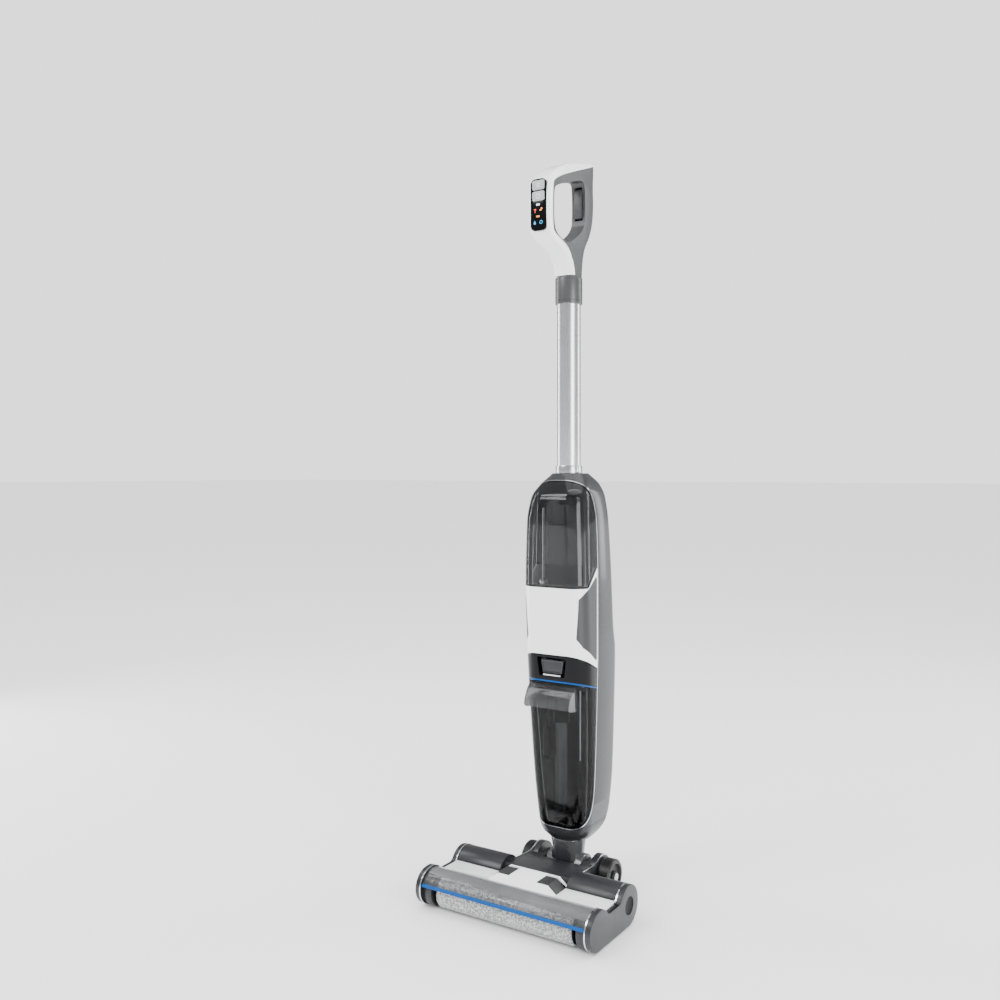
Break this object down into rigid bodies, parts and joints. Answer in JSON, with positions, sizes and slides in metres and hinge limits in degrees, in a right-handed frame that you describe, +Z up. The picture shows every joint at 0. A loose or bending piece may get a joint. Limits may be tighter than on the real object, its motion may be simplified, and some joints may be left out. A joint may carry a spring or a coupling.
{
  "type": "wet dry floor scrubber",
  "caption": "Upright cordless wet and dry floor washer: roller head with clear window, tilting neck, clean and dirty tanks, loop handle.",
  "frame": {"origin": "centre of the bounding box on the floor that the roller and the wheels stand on", "axes": "+Z up, +Y towards the back of the machine, X across the floor head"},
  "size_m": [0.292, 0.274, 1.1431],
  "materials": {
    "dark_shell": "satin dark grey moulded plastic",
    "white_shell": "gloss white moulded shell",
    "smoke_clear": "smoky transparent polycarbonate",
    "blue_trim": "bright blue moulded trim",
    "grey_shell": "satin mid grey moulded shell",
    "black_inner": "matte black moulded plastic",
    "pile_fabric": "mottled grey microfibre pile",
    "steel": "bright steel",
    "rubber": "black rubber",
    "motor_case": "motor can, light enough to stand for its windings",
    "tyre": "black soft tyre",
    "neck_finish": "metallic grey plastic",
    "black_gloss": "gloss black moulded plastic",
    "circuit": "green circuit board",
    "filter_paper": "pleated filter",
    "tube_metal": "satin silver tube",
    "button_grey": "silver-grey soft touch buttons"
  },
  "bodies": {
    "head": {"head_chassis": "dark_shell", "rear_chassis": "dark_shell", "head_top_cover": "white_shell", "rear_cowls": "dark_shell", "end_plate_left": "dark_shell", "end_plate_right": "dark_shell", "roller_bearings": "steel", "drive_belt": "rubber", "brush_motor": "motor_case", "scraper_bar": "rubber", "spray_bar": "black_inner", "wheel_axles": "steel", "tilt_pins": "steel", "head_screws": "steel"},
    "window": {"brush_window": "smoke_clear", "blue_strip": "blue_trim"},
    "latch_left": {"window_latch_left": "grey_shell"},
    "latch_right": {"window_latch_right": "grey_shell"},
    "roller": {"roller_core": "black_inner", "roller_pile": "pile_fabric", "roller_pulley": "black_inner"},
    "motor_drive": {"motor_pulley": "black_inner"},
    "wheel_l": {"wheel_left": "tyre"},
    "wheel_r": {"wheel_right": "tyre"},
    "neck": {"neck_tube": "neck_finish", "pivot_cover": "dark_shell", "swivel_ring": "steel"},
    "body": {"body_base": "grey_shell", "rear_housing": "grey_shell", "spine_frame": "black_inner", "mid_cover": "white_shell", "side_panels": "grey_shell", "latch_bezel": "black_gloss", "suction_motor": "motor_case", "battery_pack": "motor_case", "circuit_board": "circuit", "water_pump": "motor_case", "air_filter": "filter_paper", "air_duct": "black_inner", "charging_jack": "black_inner", "lower_collar": "tube_metal", "handle_tube": "tube_metal", "upper_collar": "grey_shell", "handle_front_shell": "white_shell", "handle_grip": "grey_shell", "control_panel": "black_gloss"},
    "fan": {"impeller": "black_inner"},
    "tank_latch": {"tank_latch_button": "dark_shell"},
    "clean_unit": {"clean_tank": "smoke_clear", "clean_tank_lid": "smoke_clear", "pickup_tube": "steel"},
    "cap": {"fill_cap": "black_inner"},
    "dirty_unit": {"dirty_tank": "smoke_clear", "dirty_tank_lid": "black_inner", "blue_ring": "blue_trim", "separator_tube": "smoke_clear"},
    "float_unit": {"float": "black_gloss"},
    "mode_key": {"mode_button": "button_grey"},
    "power_key": {"power_button": "button_grey"},
    "trigger_unit": {"trigger": "rubber"}
  },
  "joints": [
    {"name": "window_lift", "type": "slide", "parent": "head", "child": "window", "axis": [0, 0, 1], "range_m": [0, 0.06]},
    {"name": "latch_left_slide", "type": "slide", "parent": "head", "child": "latch_left", "axis": [0, 1, 0], "range_m": [0, 0.004], "stiffness_N_per_m": 300},
    {"name": "latch_right_slide", "type": "slide", "parent": "head", "child": "latch_right", "axis": [0, 1, 0], "range_m": [0, 0.004], "stiffness_N_per_m": 300},
    {"name": "roller_spin", "type": "hinge", "parent": "head", "child": "roller", "pos_m": [0, -0.106, 0.025], "axis": [1, 0, 0], "continuous": true},
    {"name": "motor_pulley_spin", "type": "hinge", "parent": "head", "child": "motor_drive", "pos_m": [0, -0.019, 0.031], "axis": [1, 0, 0], "continuous": true},
    {"name": "wheel_left_spin", "type": "hinge", "parent": "head", "child": "wheel_l", "pos_m": [0, 0.072, 0.026], "axis": [1, 0, 0], "continuous": true},
    {"name": "wheel_right_spin", "type": "hinge", "parent": "head", "child": "wheel_r", "pos_m": [0, 0.072, 0.026], "axis": [1, 0, 0], "continuous": true},
    {"name": "neck_tilt", "type": "hinge", "parent": "head", "child": "neck", "pos_m": [0, 0.066, 0.031], "axis": [-1, 0, 0], "range_deg": [0, 70]},
    {"name": "neck_swivel", "type": "hinge", "parent": "neck", "child": "body", "pos_m": [0, 0.066, 0.09], "axis": [0, 0, 1], "range_deg": [-40, 40]},
    {"name": "fan_spin", "type": "hinge", "parent": "body", "child": "fan", "pos_m": [0, 0.097, 0.369], "axis": [0, 0, 1], "continuous": true},
    {"name": "tank_latch_press", "type": "slide", "parent": "body", "child": "tank_latch", "axis": [0, 1, 0], "range_m": [0, 0.003], "stiffness_N_per_m": 500},
    {"name": "clean_tank_pull", "type": "slide", "parent": "body", "child": "clean_unit", "axis": [0, -1, 0], "range_m": [0, 0.09]},
    {"name": "cap_turn", "type": "hinge", "parent": "clean_unit", "child": "cap", "pos_m": [0.016, 0.031, 0.6], "axis": [0, 0, 1], "range_deg": [0, 90]},
    {"name": "dirty_tank_pull", "type": "slide", "parent": "body", "child": "dirty_unit", "axis": [0, -1, 0], "range_m": [0, 0.09]},
    {"name": "float_rise", "type": "slide", "parent": "dirty_unit", "child": "float_unit", "axis": [0, 0, 1], "range_m": [0, 0.014]},
    {"name": "mode_press", "type": "slide", "parent": "body", "child": "mode_key", "axis": [0, 1, 0], "range_m": [0, 0.0012], "stiffness_N_per_m": 600},
    {"name": "power_press", "type": "slide", "parent": "body", "child": "power_key", "axis": [0, 1, 0], "range_m": [0, 0.0012], "stiffness_N_per_m": 600},
    {"name": "trigger_pull", "type": "hinge", "parent": "body", "child": "trigger_unit", "pos_m": [0, 0.105, 1.094], "axis": [1, 0, 0], "range_deg": [0, 6], "stiffness_Nm_per_rad": 0.8}
  ],
  "couplings": [
    {"joint": "motor_pulley_spin", "follows": "roller_spin", "ratio": 1.4737}
  ]
}
